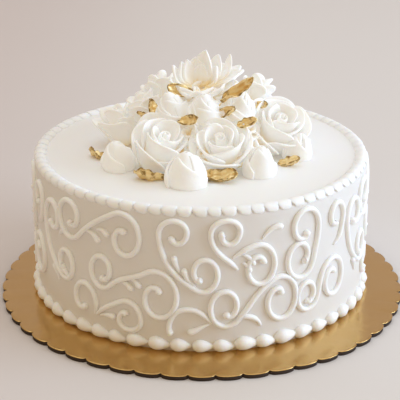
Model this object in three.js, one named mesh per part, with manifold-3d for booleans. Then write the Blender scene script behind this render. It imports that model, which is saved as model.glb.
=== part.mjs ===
// A round layer cake built together with its gold scalloped cake board. The smooth icing carries
// piped scrolls, a ring of pearls runs round its top rim and another round its foot, and piped
// roses, buds and open blossoms with gilded leaves stand on a mound of icing.
// Millimetres, +Z up, origin under the middle of the board. A bearing of 0 is the front (-Y).

import * as THREE from 'three';
import { mergeVertices } from 'three/addons/utils/BufferGeometryUtils.js';
import Module from 'manifold-3d';

const wasm = await Module();
wasm.setup();

// Board
const boardRadius = 152.4;
const boardThickness = 3.5;
const scallopCount = 50;
const scallopDepth = 3.5;
const pointsPerScallop = 3;

// Cake, measured from the board's top and from the cake's own middle
const cakeRadius = 123.4;
const cakeHeight = 104.5;
const cakeSides = 40;
const rimBevel = 3;
const cakeOffset = [-1.4, 7.7];
const clearance = 0.3;

// Pearls: each has a station between it and its neighbour, and one at its middle
const topPearls = 76;
const footPearls = 51;
const footPearlHeight = 10;
const footPearlDepth = 4.6;
const footPearlBelly = 0.45;
const footPearlCrown = 0.95;
const rimPearlRise = 4.3;
const rimPearlReach = 1.9;
const rimPearlInset = 8;
const rimPearlDrop = 0.6;
const pearlSwells = [0.5, 1];
const pearlUnevenness = 0.12;
const footSeed = 11;
const rimSeed = 5;

// Piped lines on the side
const patternRepeats = 3;
const curlTallness = 1.3;
const eyeRadius = 2.6;
const linkPull = 1.25;
const lineHalfWidth = 2.5;
const lineHeight = 2;
const lineBury = 0.8;
const lineSides = 3;
const lowestLine = 12;
const highestLine = 98.5;
const stationTurn = 78;
const linkStations = 2;

// Mound of icing under the flowers
const moundMiddle = [5.4, 0.3];
const moundRadius = 55;
const moundHeight = 41;
const moundSides = 18;
const moundRings = 4;

// Gilded leaves
const leafLength = 24;
const leafWidth = 13;
const leafThickness = 1.2;
const leafCurl = 3.5;
const leafTaper = 0.9;
const leafLift = 2;

// A curl is a spiral: middle along the side and up it, reach, inner and outer angle in degrees, and
// how fast it opens. A tip is a plain end: its two coordinates and the heading there in degrees.
const scrolls = [
  [[-102, 86, 13.2, -90, 312, 0.4], [-54, 80.5, 15, 60, 480, 0.85]],
  [[-72, 52.5, 10.3, -90, 312, 0.4], [-29.5, 39.5, 16, 60, 480, 0.6]],
  [[-89, 25.5, 12, 290, -30, 0.5], [-78, 16.5, -80]],
  [[-78, 16.5, 50], [-51.5, 19, 11.5, 100, 478, 0.5]],
  [[-16.8, 88.5, 11.8, -150, 195, 0.7], [2.5, 59, 10.5, 600, 240, 0.35]],
  [[18.5, 88, 12, -120, 215, 0.45], [26, 61, -55]],
  [[22, 70.5, 30], [41, 62, 13, 30, 465, 0.6]],
  [[17.5, 33.5, 11.5, -90, 310, 0.35], [57.5, 34.5, 13.8, 80, 475, 0.33]],
  [[24, 23, 40], [43, 16.5, -75]],
  [[76.5, 85, 12.5, 300, 0, 0.45], [73, 62.5, 12.5, -400, -10, 0.45]],
  [[80, 32.5, 9, -90, 280, 0.4], [106, 37.5, 12.5, 80, 480, 0.4]],
  [[108, 84.5, 9, 270, -20, 0.5], [106, 62.5, -150]],
  [[-125.5, 87.5, 11.5, -150, 195, 0.7], [-108.5, 50.5, 9.5, 600, 240, 0.35]],
  [[8, 21.5, 125], [-10, 17, 11.6, 217, 100, 0]],
];

// Profiles of the flowers, as fractions of their radius and height
const roseProfile = [[0, 0], [0.5, 0], [0.93, 0.3], [1, 0.6], [0.8, 0.88], [0.52, 0.8], [0.34, 1], [0, 0.92]];
const budProfile = [[0, 0], [0.62, 0], [1, 0.36], [0.84, 0.74], [0.36, 1], [0, 0.9]];
const blossomTiers = [
  { profile: [[0, 0], [0.34, 0], [0.7, 0.24], [1, 0.56], [0.72, 0.5], [0, 0.3]], petals: 7, turn: 0 },
  { profile: [[0, 0.1], [0.36, 0.2], [0.72, 0.84], [0.52, 0.76], [0, 0.4]], petals: 6, turn: 0.5 },
  { profile: [[0, 0.2], [0.22, 0.3], [0.4, 1], [0.24, 0.94], [0, 0.55]], petals: 5, turn: 0.2 },
];
const envelopeProfile = [[0, 0], [0.72, 0], [1.03, 0.34], [1.03, 0.66], [0.62, 1.03], [0, 1.03]];
const envelopeSides = 10;
const petalStep = 0.14;
const petalPoint = 0.3;

// Each flower: its middle from the cake's axis and above the table, radius, height, lean outwards
// in degrees and turn about its own axis. Earlier flowers keep their form where two meet.
const flowers = [
  { name: 'blossom_top', form: blossom, at: [4.5, 0.5, 167.5], radius: 27.5, height: 29.5, lean: 4, turn: 10 },
  { name: 'rose_front_left', form: rose, at: [-28.5, -37, 122.5], radius: 23.5, height: 37, lean: 38, turn: 40 },
  { name: 'rose_front_right', form: rose, at: [14.5, -40.5, 123.5], radius: 22, height: 35, lean: 34, turn: 0 },
  { name: 'rose_right', form: rose, at: [56.5, -3, 125], radius: 23.5, height: 40, lean: 36, turn: 80 },
  { name: 'bud_front', form: bud, at: [-10, -71.5, 116], radius: 14, height: 23, lean: 8, turn: 0 },
  { name: 'bud_front_right', form: bud, at: [43.5, -52.5, 115.5], radius: 12.5, height: 22, lean: 8, turn: 50 },
  { name: 'bud_far_left', form: bud, at: [-60, -40.5, 116.5], radius: 11.5, height: 24, lean: 12, turn: 20 },
  { name: 'bud_upper_left', form: bud, at: [-21, -18, 146], radius: 11.5, height: 26, lean: 20, turn: 0 },
  { name: 'bud_upper', form: bud, at: [2.5, -22, 146.5], radius: 11.5, height: 25, lean: 14, turn: 70 },
  { name: 'bud_upper_right', form: bud, at: [28, -12, 144], radius: 13, height: 26, lean: 20, turn: 35 },
  { name: 'rose_far_left', form: rose, at: [-61, 9.5, 123], radius: 16, height: 29, lean: 36, turn: 0 },
  { name: 'rose_left', form: rose, at: [-42.5, 14, 134.5], radius: 15, height: 26, lean: 30, turn: 60 },
  { name: 'blossom_left', form: blossom, at: [-30.5, 28.5, 147], radius: 14, height: 22, lean: 26, turn: 0 },
  { name: 'blossom_right', form: blossom, at: [42, 26, 146], radius: 14, height: 23, lean: 26, turn: 30 },
  { name: 'bud_right', form: bud, at: [72, -16, 115.5], radius: 10.5, height: 21, lean: 12, turn: 0 },
  { name: 'rose_back_left', form: rose, at: [-37, 45, 122.5], radius: 20.5, height: 34, lean: 36, turn: 20 },
  { name: 'rose_back', form: rose, at: [4, 53, 123], radius: 22.5, height: 35, lean: 36, turn: 70 },
  { name: 'rose_back_right', form: rose, at: [44, 40, 122.5], radius: 21, height: 34, lean: 36, turn: 10 },
  { name: 'bud_back_left', form: bud, at: [-20, 70, 116], radius: 11.5, height: 22, lean: 10, turn: 0 },
  { name: 'bud_back_right', form: bud, at: [30, 68.5, 116], radius: 12, height: 22, lean: 10, turn: 40 },
  { name: 'bud_upper_back', form: bud, at: [-8, 26, 145], radius: 13.5, height: 26, lean: 20, turn: 15 },
  { name: 'bud_upper_back_right', form: bud, at: [19, 24, 145], radius: 13.5, height: 26, lean: 20, turn: 65 },
];

// Each gilded leaf: its middle in the same way, size as a share of a full leaf, then the bearing it
// points to, its pitch and its roll in degrees.
const gildedLeaves = [
  { name: 'leaf_far_left', at: [-76, -15, 107], scale: 0.8, bearing: 235, pitch: 12, roll: 20 },
  { name: 'leaf_front_left', at: [-36.5, -64, 107], scale: 1.05, bearing: 262, pitch: 8, roll: 25 },
  { name: 'leaf_front', at: [19, -64, 107.5], scale: 1.1, bearing: 80, pitch: 8, roll: 25 },
  { name: 'leaf_right', at: [67, -33, 107], scale: 0.8, bearing: 70, pitch: 20, roll: 20 },
  { name: 'leaf_left_low', at: [-40.5, -9, 131], scale: 0.55, bearing: 290, pitch: 20, roll: 30 },
  { name: 'leaf_left_high', at: [-35.5, -7, 139.5], scale: 0.6, bearing: 200, pitch: 30, roll: 10 },
  { name: 'leaf_middle', at: [-9.5, -33, 143.5], scale: 0.6, bearing: 60, pitch: 20, roll: 40 },
  { name: 'leaf_under_blossom', at: [-17, -7, 153.5], scale: 0.75, bearing: 250, pitch: 25, roll: 20 },
  { name: 'leaf_twisted', at: [27.5, -21, 158.5], scale: 1.1, bearing: 88, pitch: 26, roll: 50 },
  { name: 'leaf_upper_middle', at: [17, -24, 147], scale: 0.65, bearing: 60, pitch: 25, roll: 40 },
  { name: 'leaf_upper_right', at: [34, -33, 137], scale: 0.7, bearing: 80, pitch: 20, roll: 30 },
  { name: 'leaf_right_high', at: [44, 2, 143], scale: 0.6, bearing: 60, pitch: 15, roll: 30 },
  { name: 'leaf_back_left', at: [-58, 48, 107.5], scale: 0.9, bearing: 215, pitch: 10, roll: 20 },
  { name: 'leaf_back', at: [7, 82, 107.5], scale: 1, bearing: 170, pitch: 8, roll: 20 },
];

const icing = new THREE.MeshStandardMaterial({ color: 0xf1eee8, roughness: 0.55, metalness: 0 });
const petal = new THREE.MeshStandardMaterial({ color: 0xf6f1e4, roughness: 0.5, metalness: 0 });
const gilding = new THREE.MeshStandardMaterial({ color: 0xb98f45, roughness: 0.4, metalness: 0.7 });
const boardFoil = new THREE.MeshStandardMaterial({ color: 0xb08a55, roughness: 0.35, metalness: 0.8 });

const mergeDistance = 1e-4;
const radians = THREE.MathUtils.degToRad;

// Meshes and solids

function toSolid(geometry) {
  const bare = geometry.clone();
  bare.deleteAttribute('normal');
  bare.deleteAttribute('uv');
  const merged = mergeVertices(bare, mergeDistance);
  return new wasm.Manifold(new wasm.Mesh({
    numProp: 3,
    vertProperties: merged.attributes.position.array,
    triVerts: new Uint32Array(merged.index.array),
  }));
}

function toGeometry(solid) {
  const mesh = solid.getMesh();
  const geometry = new THREE.BufferGeometry();
  geometry.setAttribute('position', new THREE.BufferAttribute(new Float32Array(mesh.vertProperties), 3));
  geometry.setIndex(new THREE.BufferAttribute(new Uint32Array(mesh.triVerts), 1));
  geometry.computeVertexNormals();
  return geometry;
}

function named(name, geometry, material) {
  const mesh = new THREE.Mesh(geometry, material);
  mesh.name = name;
  return mesh;
}

function largestBody(solid) {
  return solid.decompose().reduce((best, body) => (body.volume() > best.volume() ? body : best));
}

// Repeatable random numbers from 0 to 1
function seeded(seed) {
  let state = seed;
  return () => {
    state = (state * 16807) % 2147483647;
    return state / 2147483647;
  };
}

// A closed lathe about Z. The radius of profile point j at each bearing is multiplied by waver.
function turned(profile, sides, waver = () => 1) {
  const points = profile.map(([r, z]) => new THREE.Vector2(r, z));
  const geometry = new THREE.LatheGeometry(points, sides);
  const place = geometry.attributes.position;
  for (let i = 0; i <= sides; i += 1) {
    const turn = (i % sides) / sides;
    const bearing = 2 * Math.PI * turn;
    points.forEach((point, j) => {
      const radius = point.x * waver(turn, j);
      place.setXYZ(i * points.length + j, radius * Math.sin(bearing), -radius * Math.cos(bearing), point.y);
    });
  }
  return geometry;
}

// Board: convex scallops that meet in sharp notches

function boardMesh() {
  const outline = [];
  for (let i = 0; i < scallopCount * pointsPerScallop; i += 1) {
    const alongScallop = (i % pointsPerScallop) / pointsPerScallop;
    const bulge = Math.sqrt(1 - (2 * alongScallop - 1) ** 2);
    const angle = (2 * Math.PI * i) / (scallopCount * pointsPerScallop);
    const radius = boardRadius - scallopDepth * (1 - bulge);
    outline.push(new THREE.Vector2(radius * Math.cos(angle), radius * Math.sin(angle)));
  }
  const geometry = new THREE.ExtrudeGeometry(new THREE.Shape(outline), {
    depth: boardThickness,
    bevelEnabled: false,
  });
  return named('board', geometry, boardFoil);
}

// Piped lines, laid out on the unrolled side and wrapped round it

function curlPoint([along, up, reach, inner, outer, opening], t) {
  const radius = eyeRadius + (reach - eyeRadius) * t ** opening;
  const angle = radians(inner + (outer - inner) * t);
  return new THREE.Vector2(along + radius * Math.cos(angle), up + curlTallness * radius * Math.sin(angle));
}

// The points of one end of a line, from its eye or tip outwards, and the way it leaves
function lineEnd(end) {
  if (end.length === 3) {
    const heading = radians(end[2]);
    return {
      points: [new THREE.Vector2(end[0], end[1])],
      leaving: new THREE.Vector2(Math.cos(heading), Math.sin(heading)),
    };
  }
  const steps = Math.ceil(Math.abs(end[4] - end[3]) / stationTurn);
  const points = [];
  for (let i = 0; i <= steps; i += 1) {
    points.push(curlPoint(end, i / steps));
  }
  return { points, leaving: curlPoint(end, 1).sub(curlPoint(end, 0.999)).normalize() };
}

function linePoints([from, to]) {
  const first = lineEnd(from);
  const last = lineEnd(to);
  const arriving = to.length === 3 ? last.leaving : last.leaving.clone().negate();
  const start = first.points[first.points.length - 1];
  const finish = last.points[last.points.length - 1];
  const pull = linkPull * start.distanceTo(finish) / 3;
  const link = new THREE.CubicBezierCurve(
    start,
    start.clone().addScaledVector(first.leaving, pull),
    finish.clone().addScaledVector(arriving, -pull),
    finish,
  );
  const between = link.getPoints(linkStations + 1).slice(1, -1);
  return [...first.points, ...between, ...last.points.reverse()];
}

// A ridge of icing along the points, its base sunk into the side
function pipedLine(points, bearing) {
  const onSide = points.map((point) => {
    const angle = bearing + point.x / cakeRadius;
    const up = THREE.MathUtils.clamp(point.y, lowestLine, highestLine);
    const outward = new THREE.Vector3(Math.sin(angle), -Math.cos(angle), 0);
    return { place: outward.clone().multiplyScalar(cakeRadius).setZ(up), outward };
  });
  const last = onSide.length - 1;
  const geometry = new THREE.CylinderGeometry(1, 1, 1, lineSides, last);
  const place = geometry.attributes.position;
  for (let i = 0; i < place.count; i += 1) {
    const station = Math.round((0.5 - place.getY(i)) * last);
    const { place: middle, outward } = onSide[station];
    const before = onSide[Math.max(station - 1, 0)].place;
    const after = onSide[Math.min(station + 1, last)].place;
    const side = new THREE.Vector3().crossVectors(outward, after.clone().sub(before)).normalize();
    const rise = ((place.getZ(i) + 0.5) / 1.5) * (lineHeight + lineBury) - lineBury;
    const across = place.getX(i) * lineHalfWidth;
    const point = middle.clone().addScaledVector(side, across).addScaledVector(outward, rise);
    place.setXYZ(i, point.x, point.y, point.z);
  }
  return toSolid(geometry);
}

function pipedLines() {
  const lines = [];
  for (let repeat = 0; repeat < patternRepeats; repeat += 1) {
    const bearing = (2 * Math.PI * repeat) / patternRepeats;
    scrolls.forEach((scroll) => lines.push(pipedLine(linePoints(scroll), bearing)));
  }
  return lines;
}

function cakeMesh() {
  const drum = toSolid(turned([
    [0, 0],
    [cakeRadius, 0],
    [cakeRadius, cakeHeight - rimBevel],
    [cakeRadius - rimBevel, cakeHeight],
    [0, cakeHeight],
  ], cakeSides));
  const iced = pipedLines().reduce((cake, line) => cake.add(line), drum);
  return named('cake', toGeometry(largestBody(iced)), icing);
}

// Pearls: a closed ring whose section swells at each pearl. section(swell) gives its corners as
// distance from the cake's axis and height, the outermost first, then over the top to the inside.
function pearlRing(pearls, section, random) {
  const stations = pearls * pearlSwells.length;
  const sides = section(1).length;
  const geometry = new THREE.TorusGeometry(cakeRadius, 1, sides, stations);
  const place = geometry.attributes.position;
  const corners = [];
  for (let pearl = 0; pearl < pearls; pearl += 1) {
    const plumpness = 1 - pearlUnevenness * random();
    pearlSwells.forEach((swell) => corners.push(section(swell * plumpness)));
  }
  for (let side = 0; side <= sides; side += 1) {
    for (let station = 0; station <= stations; station += 1) {
      const [radius, height] = corners[station % stations][side % sides];
      const bearing = (2 * Math.PI * (station % stations)) / stations;
      const index = side * (stations + 1) + station;
      place.setXYZ(index, radius * Math.sin(bearing), -radius * Math.cos(bearing), height);
    }
  }
  return geometry;
}

function footBorder() {
  const inside = cakeRadius + clearance;
  const section = (swell) => [
    [inside + footPearlDepth * swell, footPearlBelly * footPearlHeight * swell],
    [inside + 0.55 * footPearlDepth * swell, footPearlCrown * footPearlHeight * swell],
    [inside, footPearlCrown * footPearlHeight * swell],
    [inside, 0],
    [inside + 0.7 * footPearlDepth * swell, 0],
  ];
  return named('bottom_border', pearlRing(footPearls, section, seeded(footSeed)), icing);
}

// The section's last two corners run along the cake's bevel, the clearance away from it
function rimBorder() {
  const bevelShift = clearance * Math.tan(Math.PI / 8);
  const section = (swell) => [
    [cakeRadius + clearance + rimPearlReach * swell, cakeHeight - rimPearlDrop],
    [cakeRadius - 0.4 * rimPearlInset, cakeHeight + rimPearlRise * swell],
    [cakeRadius - 0.5 * rimPearlInset * (1 + swell), cakeHeight + clearance],
    [cakeRadius - rimBevel + bevelShift, cakeHeight + clearance],
    [cakeRadius + clearance, cakeHeight - rimBevel + bevelShift],
  ];
  return named('top_border', pearlRing(topPearls, section, seeded(rimSeed)), icing);
}

// Flowers

// A bloom whose radius steps in at the edge of each overlapping petal, twisting as it rises
function petalled(profile, petals, sidesPerPetal) {
  const step = (turn, j) => {
    const alongPetal = (turn * petals + j * 0.5) % 1;
    return 1 - petalStep * alongPetal;
  };
  return toSolid(turned(profile, petals * sidesPerPetal, step));
}

function rose() {
  return petalled(roseProfile, 4, 3);
}

function bud() {
  return petalled(budProfile, 3, 3);
}

function blossom() {
  const tiers = blossomTiers.map(({ profile, petals, turn }) => {
    const star = (around, j) => {
      const point = Math.abs(((around * petals + turn) % 1) - 0.5) * 2;
      return j === 0 ? 1 : 1 - petalPoint * (1 - point);
    };
    return toSolid(turned(profile, petals * 2, star));
  });
  return tiers.reduce((whole, tier) => whole.add(tier));
}

// Scales a unit bloom, leans it outwards from the middle of the mound and sets it in its place
function standing(solid, { at, radius, height, lean, turn }, swell = 0) {
  const outward = Math.atan2(at[1] - moundMiddle[1], at[0] - moundMiddle[0]);
  const axis = new THREE.Vector3(-Math.sin(outward), Math.cos(outward), 0);
  const matrix = new THREE.Matrix4()
    .makeTranslation(at[0], at[1], at[2] - boardThickness)
    .multiply(new THREE.Matrix4().makeRotationAxis(axis, radians(lean)))
    .multiply(new THREE.Matrix4().makeRotationZ(radians(turn)))
    .multiply(new THREE.Matrix4().makeTranslation(0, 0, -height / 2 - swell))
    .multiply(new THREE.Matrix4().makeScale(radius + swell, radius + swell, height + 2 * swell));
  return solid.transform(matrix.elements);
}

function near(a, b) {
  const apart = new THREE.Vector3(...a.at).distanceTo(new THREE.Vector3(...b.at));
  const reach = (item) => Math.hypot(item.radius, item.height / 2);
  return apart < reach(a) + reach(b) + 2 * clearance;
}

// The dome stands just clear of the cake. A swell makes it larger all round, to cut with.
function moundSolid(swell) {
  const profile = [[0, clearance - swell], [moundRadius + swell, clearance - swell]];
  for (let i = 1; i < moundRings; i += 1) {
    const angle = (Math.PI / 2) * (i / moundRings);
    profile.push([
      (moundRadius + swell) * Math.cos(angle),
      clearance + (moundHeight + swell) * Math.sin(angle),
    ]);
  }
  profile.push([0, clearance + moundHeight + swell]);
  const solid = toSolid(turned(profile, moundSides));
  return solid.translate([moundMiddle[0], moundMiddle[1], cakeHeight]);
}

// Everything up to just above the cake's top, to cut the flowers and leaves level with
function floorSolid() {
  const slab = new THREE.BoxGeometry(2 * cakeRadius, 2 * cakeRadius, cakeHeight);
  slab.translate(0, 0, cakeHeight / 2 + clearance);
  return toSolid(slab);
}

// A thin leaf that narrows to both ends and waves along and across
function gildedLeaf({ at, scale, bearing, pitch, roll }) {
  const geometry = new THREE.BoxGeometry(1, 1, 1, 3, 2, 1);
  const place = geometry.attributes.position;
  for (let i = 0; i < place.count; i += 1) {
    const along = place.getX(i);
    const across = place.getY(i);
    const outline = 1 - leafTaper * (2 * Math.abs(along)) ** 2.2;
    const wave = leafCurl * (2 * along ** 2 + 1.2 * across ** 2 * Math.sign(along + 0.1));
    place.setXYZ(
      i,
      along * leafLength * scale,
      across * leafWidth * outline * scale,
      place.getZ(i) * leafThickness + wave * scale,
    );
  }
  const towards = radians(bearing);
  geometry.rotateX(radians(roll));
  geometry.rotateY(-radians(pitch));
  geometry.rotateZ(towards - Math.PI / 2);
  geometry.translate(at[0], at[1], at[2] - boardThickness + leafLift);
  return toSolid(geometry);
}

// The mound, the flowers and the leaves, each cut clear of what keeps its form before it
function flowerMeshes() {
  const floor = floorSolid();
  const mound = moundSolid(0);
  const moundCutter = moundSolid(clearance);
  const envelope = toSolid(turned(envelopeProfile, envelopeSides));
  const envelopes = flowers.map((flower) => standing(envelope, flower, clearance));
  const meshes = [named('flower_mound', toGeometry(mound), icing)];
  flowers.forEach((flower, i) => {
    let solid = standing(flower.form(), flower).subtract(moundCutter).subtract(floor);
    for (let j = 0; j < i; j += 1) {
      if (near(flower, flowers[j])) {
        solid = solid.subtract(envelopes[j]);
      }
    }
    meshes.push(named(flower.name, toGeometry(largestBody(solid)), petal));
  });
  const cutters = [moundCutter, floor, ...envelopes];
  gildedLeaves.forEach((leaf) => {
    const solid = cutters.reduce((rest, cutter) => rest.subtract(cutter), gildedLeaf(leaf));
    meshes.push(named(leaf.name, toGeometry(largestBody(solid)), gilding));
  });
  return meshes;
}

const cakeOnBoard = new THREE.Group();
cakeOnBoard.position.set(cakeOffset[0], cakeOffset[1], boardThickness);
cakeOnBoard.add(cakeMesh(), footBorder(), rimBorder(), ...flowerMeshes());

const group = new THREE.Group();
group.add(boardMesh(), cakeOnBoard);

export default group;
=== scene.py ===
# %% [markdown]
# A decorated cake on a gold board.
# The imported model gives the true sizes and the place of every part. This scene dresses each part
# with the form and the finish of the real thing: soft icing, piped scrolls and pearls, flowers made
# petal by petal, gold leaf and foil. All of it is in metres, in the model's own frame.

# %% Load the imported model
import math
import random

import bmesh
import bpy
from mathutils import Matrix, Vector, noise


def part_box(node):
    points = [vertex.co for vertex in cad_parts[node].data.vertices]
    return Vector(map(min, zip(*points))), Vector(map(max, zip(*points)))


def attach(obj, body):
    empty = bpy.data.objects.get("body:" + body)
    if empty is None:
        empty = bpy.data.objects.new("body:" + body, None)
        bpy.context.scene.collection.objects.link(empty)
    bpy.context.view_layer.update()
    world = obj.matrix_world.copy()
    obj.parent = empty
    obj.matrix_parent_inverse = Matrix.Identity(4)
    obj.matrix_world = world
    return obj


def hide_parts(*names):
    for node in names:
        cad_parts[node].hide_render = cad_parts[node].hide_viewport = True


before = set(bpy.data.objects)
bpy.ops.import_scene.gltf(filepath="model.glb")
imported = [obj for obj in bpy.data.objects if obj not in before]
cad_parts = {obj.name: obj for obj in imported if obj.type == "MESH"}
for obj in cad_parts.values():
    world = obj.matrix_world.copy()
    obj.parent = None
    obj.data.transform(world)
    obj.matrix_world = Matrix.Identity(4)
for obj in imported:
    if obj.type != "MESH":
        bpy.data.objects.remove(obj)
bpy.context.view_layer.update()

# %% [markdown]
# The photograph was taken from a little above, with a long lens. The camera's distance, height and
# lens were fitted to the outline of the board and to the rim and foot of the cake, so the render can
# be laid over the photograph.

# %% Camera
MM = 0.001
SENSOR = 36.0
PICTURE_SIDE = 400
FOCAL_PIXELS = 1443.0
CAMERA_DISTANCE = 1085.3 * MM
CAMERA_TARGET = Vector((-1.72, 0.0, 70.0)) * MM
CAMERA_ELEVATION = math.radians(22.14)
CAMERA_ROLL = math.radians(0.25)


def add_camera():
    camera = bpy.data.objects.new("camera", bpy.data.cameras.new("camera"))
    camera.data.sensor_width = SENSOR
    camera.data.lens = SENSOR * FOCAL_PIXELS / PICTURE_SIDE
    back = Vector((0.0, -math.cos(CAMERA_ELEVATION), math.sin(CAMERA_ELEVATION)))
    camera.location = CAMERA_TARGET + back * CAMERA_DISTANCE
    aim = (-back).to_track_quat("-Z", "Y").to_matrix()
    camera.rotation_euler = (aim @ Matrix.Rotation(CAMERA_ROLL, 3, "Z")).to_euler()
    bpy.context.scene.collection.objects.link(camera)
    bpy.context.scene.camera = camera
    return camera


camera = add_camera()
print("lens:", round(camera.data.lens, 1), "mm")

# %% [markdown]
# The photograph was lit by a cool window at the right, a soft bluish ceiling and a warm pale room.
# The window is a large area light, which gives the soft edge between the white right side and the
# beige left side. The room is the world's colour, so it fills every shadow evenly. The strengths and
# colours were found by rendering each light alone and fitting their sum to the photograph.

# %% Light
ROOM_COLOUR = (1.0, 0.817, 0.563, 1.0)
ROOM_STRENGTH = 0.65
WINDOW_COLOUR = (0.543, 0.735, 1.0)
WINDOW_POWER = 53.8
WINDOW_SIZE = 1.6
WINDOW_PLACE = Vector((2.3, -0.3, 0.7))
CEILING_COLOUR = (0.593, 0.770, 1.0)
CEILING_POWER = 25.1
CEILING_SIZE = 2.6
CEILING_PLACE = Vector((0.0, 0.3, 2.3))


def add_area_light(name, place, size, power, colour):
    light = bpy.data.lights.new(name, "AREA")
    light.size = size
    light.energy = power
    light.color = colour
    lamp = bpy.data.objects.new(name, light)
    lamp.location = place
    lamp.rotation_euler = (CAMERA_TARGET - place).to_track_quat("-Z", "Y").to_euler()
    bpy.context.scene.collection.objects.link(lamp)


def add_room():
    world = bpy.data.worlds.new("room")
    world.use_nodes = True
    background = world.node_tree.nodes["Background"]
    background.inputs["Color"].default_value = ROOM_COLOUR
    background.inputs["Strength"].default_value = ROOM_STRENGTH
    bpy.context.scene.world = world


add_room()
add_area_light("window", WINDOW_PLACE, WINDOW_SIZE, WINDOW_POWER, WINDOW_COLOUR)
add_area_light("ceiling", CEILING_PLACE, CEILING_SIZE, CEILING_POWER, CEILING_COLOUR)
bpy.context.scene.view_settings.view_transform = "Standard"
print("lights:", len(bpy.data.lights))

# %% [markdown]
# Finishes are made of shader nodes. One class holds a material's tree and adds any node to it. A
# second one wraps a socket, so that sums on it are written as Python and become Math nodes.

# %% Node helpers
class Wire:
    """An output socket that can be added, subtracted and multiplied, on either side of the sign."""

    def __init__(self, finish, socket):
        self.finish = finish
        self.socket = socket

    def _sum(self, operation, first, second):
        return self.finish.node("ShaderNodeMath", {"operation": operation}, {0: first, 1: second})

    def __add__(self, other):
        return self._sum("ADD", self, other)

    def __sub__(self, other):
        return self._sum("SUBTRACT", self, other)

    def __rsub__(self, other):
        return self._sum("SUBTRACT", other, self)

    def __mul__(self, other):
        return self._sum("MULTIPLY", self, other)

    __radd__ = __add__
    __rmul__ = __mul__


class Finish:
    """A material with one Principled shader."""

    def __init__(self, name, **constants):
        self.material = bpy.data.materials.new(name)
        self.material.use_nodes = True
        self.tree = self.material.node_tree
        self.shader = self.tree.nodes["Principled BSDF"]
        for key, value in constants.items():
            self.shader.inputs[key.replace("_", " ")].default_value = value

    def node(self, kind, settings=None, sockets=None, output=0):
        made = self.tree.nodes.new(kind)
        for key, value in (settings or {}).items():
            setattr(made, key, value)
        for key, value in (sockets or {}).items():
            self.feed(made.inputs[key], value)
        return Wire(self, made.outputs[output])

    def feed(self, socket, value):
        if isinstance(value, Wire):
            self.tree.links.new(value.socket, socket)
        else:
            socket.default_value = value

    def surface(self, **values):
        for key, value in values.items():
            self.feed(self.shader.inputs[key.replace("_", " ")], value)
        return self.material

    def place(self):
        return self.node("ShaderNodeTexCoord", output="Object")

    def attribute(self, name):
        return self.node("ShaderNodeAttribute", {"attribute_name": name}, output="Fac")

    def speckle(self, scale, detail=2.0, roughness=0.5):
        sockets = {"Vector": self.place(), "Scale": scale, "Detail": detail, "Roughness": roughness}
        return self.node("ShaderNodeTexNoise", sockets=sockets, output="Fac")

    def remap(self, value, low, high, to_low=0.0, to_high=1.0):
        sockets = {"Value": value, "From Min": low, "From Max": high,
                   "To Min": to_low, "To Max": to_high}
        return self.node("ShaderNodeMapRange", {"interpolation_type": "SMOOTHSTEP"}, sockets)

    def blend(self, share, first, second):
        return self.node("ShaderNodeMix", {"data_type": "RGBA"}, {0: share, 6: first, 7: second}, 2)

    def bump(self, height, distance, strength=1.0):
        sockets = {"Height": height, "Distance": distance, "Strength": strength}
        return self.node("ShaderNodeBump", sockets=sockets)


print("node helpers ready")

# %% [markdown]
# Buttercream is a satin, slightly see-through white. A little light goes into it and comes out warm,
# which is what subsurface scattering does, and it keeps the shadows soft. The smooth coat was drawn
# with a scraper, so it has only broad, faint waves. In the photograph the side is warmer and darker
# than the top, more than the lights alone make it, so the side's colour is darker and warmer below
# the rim: painted shade.

# %% Smooth icing
TOP_CREAM = (0.90, 0.885, 0.86, 1.0)
# The side's colour is darker and warmer than the top's: painted shade.
SIDE_CREAM_PAINTED_SHADE = (0.80, 0.765, 0.72, 1.0)
GLOW_DEPTH = (1.0, 0.72, 0.42)
# Heights above the table, in metres, between which the side's painted shade turns into the top's
# colour.
SIDE_STARTS = 0.1045
SIDE_ENDS = 0.1075


def smooth_icing():
    finish = Finish(
        "smooth icing",
        Subsurface_Weight=0.2,
        Subsurface_Radius=GLOW_DEPTH,
        Subsurface_Scale=0.004,
    )
    waves = finish.speckle(14.0)
    grain = finish.speckle(420.0, detail=3.0)
    height = waves * 0.9 + grain * 0.04
    place = finish.node("ShaderNodeSeparateXYZ", sockets={0: finish.place()}, output="Z")
    # on_top is 1 on the top and 0 down the side, where the darker colour is painted shade.
    on_top = finish.remap(place, SIDE_STARTS, SIDE_ENDS)
    return finish.surface(
        Base_Color=finish.blend(on_top, SIDE_CREAM_PAINTED_SHADE, TOP_CREAM),
        Roughness=finish.remap(grain, 0.3, 0.7, 0.44, 0.52),
        Normal=finish.bump(height, 0.0012, 0.5),
    )


icing_material = smooth_icing()
print(icing_material.name)

# %% [markdown]
# Piped icing is softer and fatter than the coat. It has no scraper marks, only the small ripples
# that the tube leaves, and its own thickness makes it glow a little more.

# %% Piped icing
PIPED_CREAM = (0.95, 0.935, 0.91, 1.0)
PIPED_WARM = (0.93, 0.91, 0.875, 1.0)


def piped_icing():
    finish = Finish(
        "piped icing",
        Subsurface_Weight=0.25,
        Subsurface_Radius=GLOW_DEPTH,
        Subsurface_Scale=0.003,
    )
    patches = finish.speckle(60.0)
    ripples = finish.speckle(700.0, detail=1.0)
    return finish.surface(
        Base_Color=finish.blend(finish.remap(patches, 0.3, 0.7), PIPED_WARM, PIPED_CREAM),
        Roughness=finish.remap(patches, 0.3, 0.7, 0.48, 0.58),
        Normal=finish.bump(ripples, 0.0004, 0.3),
    )


piped_material = piped_icing()
print(piped_material.name)
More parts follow.
